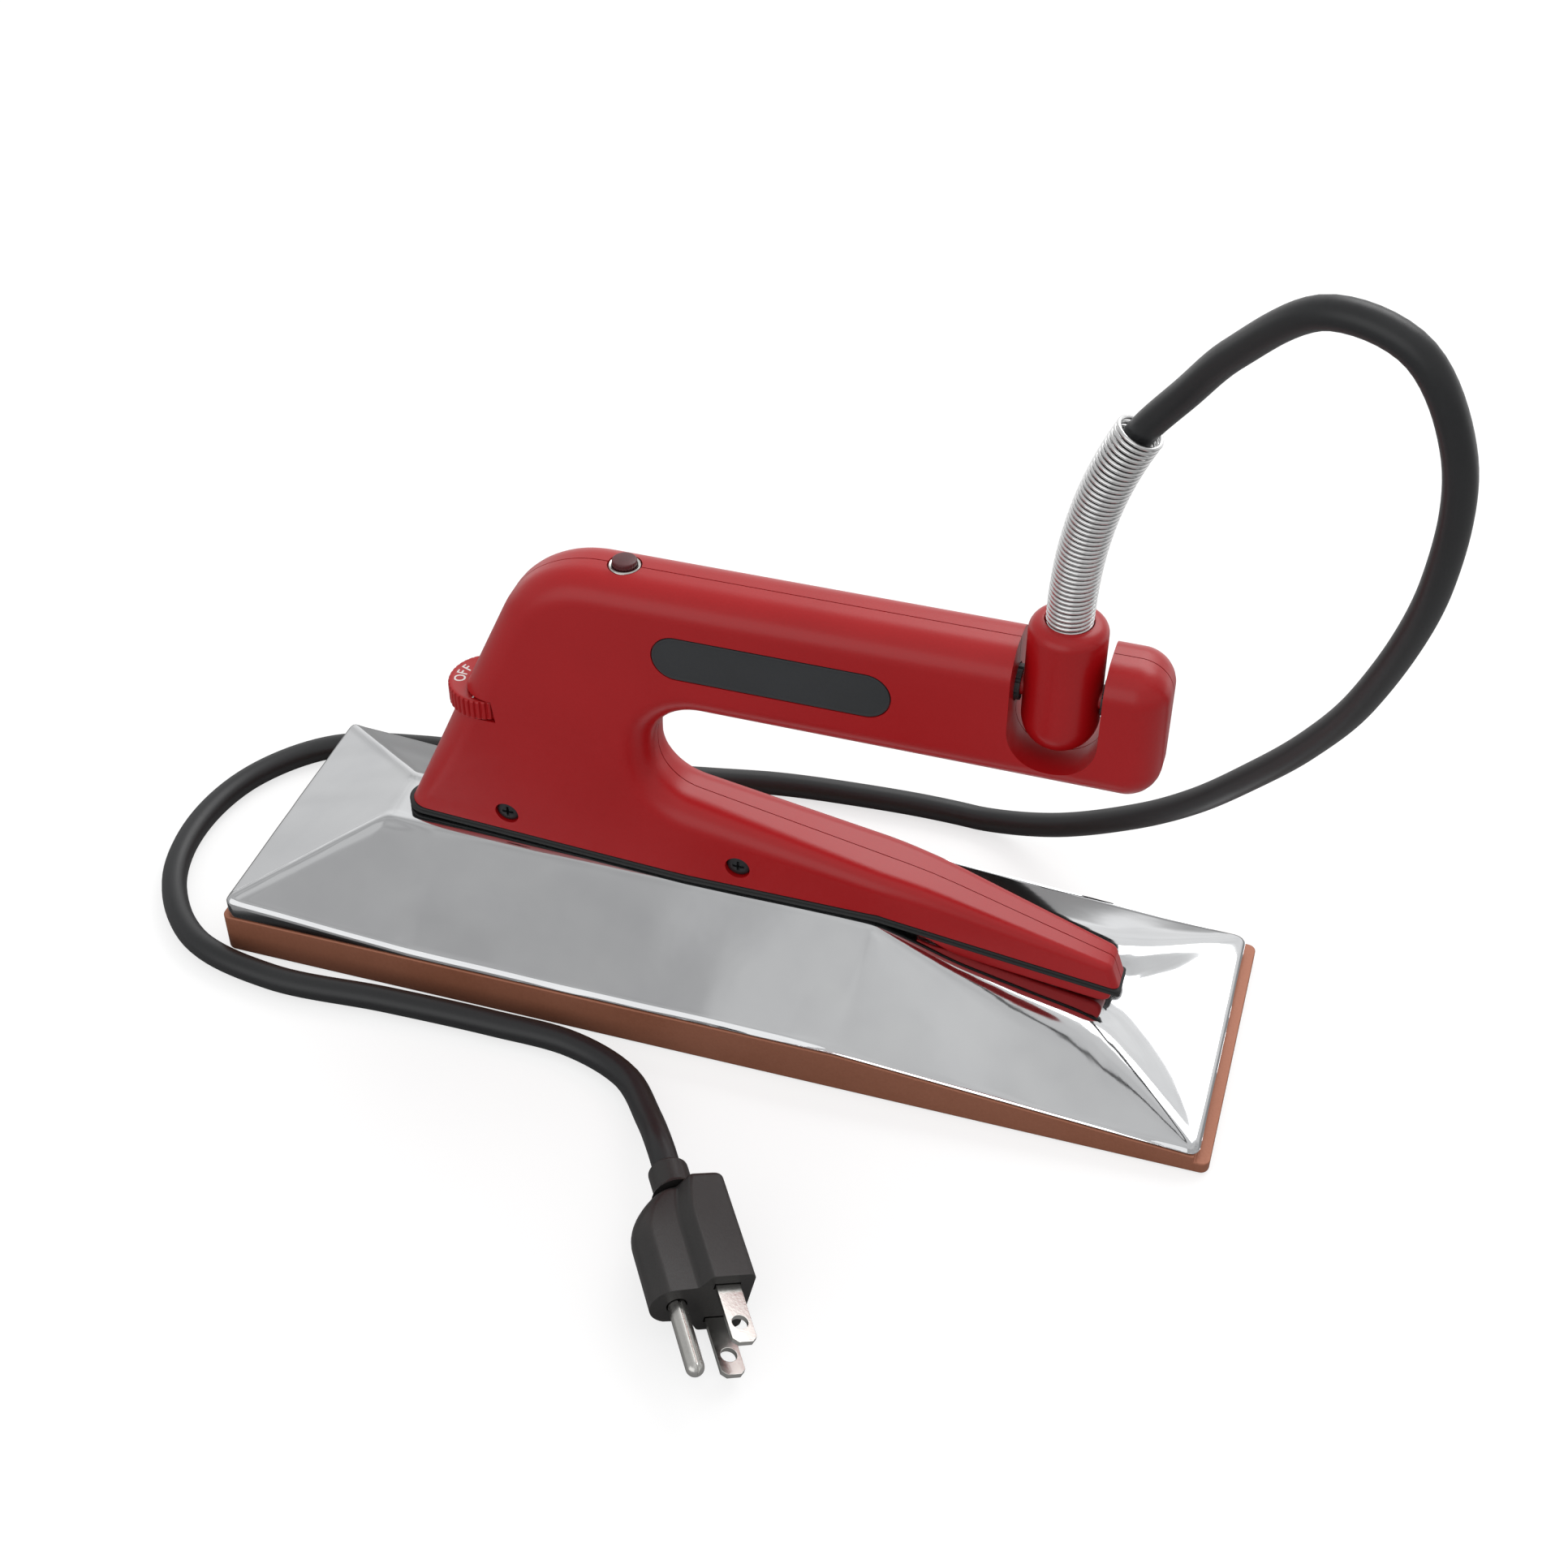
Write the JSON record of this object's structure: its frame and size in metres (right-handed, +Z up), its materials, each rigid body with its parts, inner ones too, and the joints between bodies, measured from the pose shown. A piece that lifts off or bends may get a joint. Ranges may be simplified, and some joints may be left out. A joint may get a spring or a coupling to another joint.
{
  "type": "carpet seaming iron",
  "caption": "Electric iron with a long flat sole, chromed sloping heat shield, red D-shaped handle with a thumb dial, a swivelling cord gland with a spring strain relief, and a corded plug.",
  "frame": {"origin": "middle of the sole plate's underside", "axes": "+X along the sole from the dial end to the narrow tail and cord end, +Y away from the side with the label plate, +Z up"},
  "size_m": [0.3608, 0.235, 0.2539],
  "materials": {
    "handle_plastic": "satin red moulded plastic",
    "sole_coating": "copper-brown non-stick coating on cast aluminium",
    "chromed_sheet": "mirror chrome",
    "plated_steel": "plated steel",
    "nickel": "nickel-plated brass",
    "black_plastic": "fine matt black",
    "dial_plastic": "red, knurled rim",
    "gasket": "black ribbed gasket",
    "cord_jacket": "black cord jacket",
    "plug_moulding": "black moulded plug",
    "ceramic": "glazed thermostat block",
    "lamp_lens": "dark red translucent lens",
    "lamp_glass": "clear neon lamp",
    "lead_sleeve": "woven glass sleeve"
  },
  "bodies": {
    "iron": {"handle_front_shell": "handle_plastic", "handle_back_shell": "handle_plastic", "tail_cover": "handle_plastic", "sole_plate": "sole_coating", "heat_shield": "chromed_sheet", "pilot_bezel": "chromed_sheet", "base_gasket": "gasket", "power_cord": "cord_jacket", "plug_body": "plug_moulding", "plug_collar": "plug_moulding", "plug_blade_upper": "nickel", "plug_blade_lower": "nickel", "plug_earth_pin": "nickel", "terminal_pin_live": "nickel", "terminal_pin_neutral": "nickel", "heating_element": "plated_steel", "clamp_bar": "plated_steel", "clamp_screw_front": "plated_steel", "clamp_screw_rear": "plated_steel", "element_clamp_front": "plated_steel", "element_clamp_rear": "plated_steel", "grip_screw": "plated_steel", "mounting_stud_front": "plated_steel", "mounting_stud_rear": "plated_steel", "stud_nut_front": "plated_steel", "stud_nut_rear": "plated_steel", "stud_spacer_front": "plated_steel", "stud_spacer_rear": "plated_steel", "thermostat_bracket": "plated_steel", "thermostat_body": "ceramic", "pilot_lens": "lamp_lens", "pilot_lamp": "lamp_glass", "lead_live": "lead_sleeve", "lead_neutral": "lead_sleeve", "lead_earth": "lead_sleeve", "gland_bush_front": "black_plastic", "gland_bush_rear": "black_plastic", "label_plate": "black_plastic", "shell_screw_front": "black_plastic", "shell_screw_rear": "black_plastic"},
    "dial": {"thermostat_dial": "dial_plastic", "thermostat_shaft": "plated_steel"},
    "cord_gland": {"gland_barrel": "handle_plastic", "strain_relief_spring": "plated_steel"}
  },
  "joints": [
    {"name": "dial_turn", "type": "hinge", "parent": "iron", "child": "dial", "pos_m": [-0.0738, 0, 0.087], "axis": [0, 0, 1], "range_deg": [-270, 0]},
    {"name": "gland_swing", "type": "hinge", "parent": "iron", "child": "cord_gland", "pos_m": [0.0885, 0, 0.1207], "axis": [1, 0, 0], "range_deg": [-60, 60], "deforming": ["power_cord"]}
  ]
}
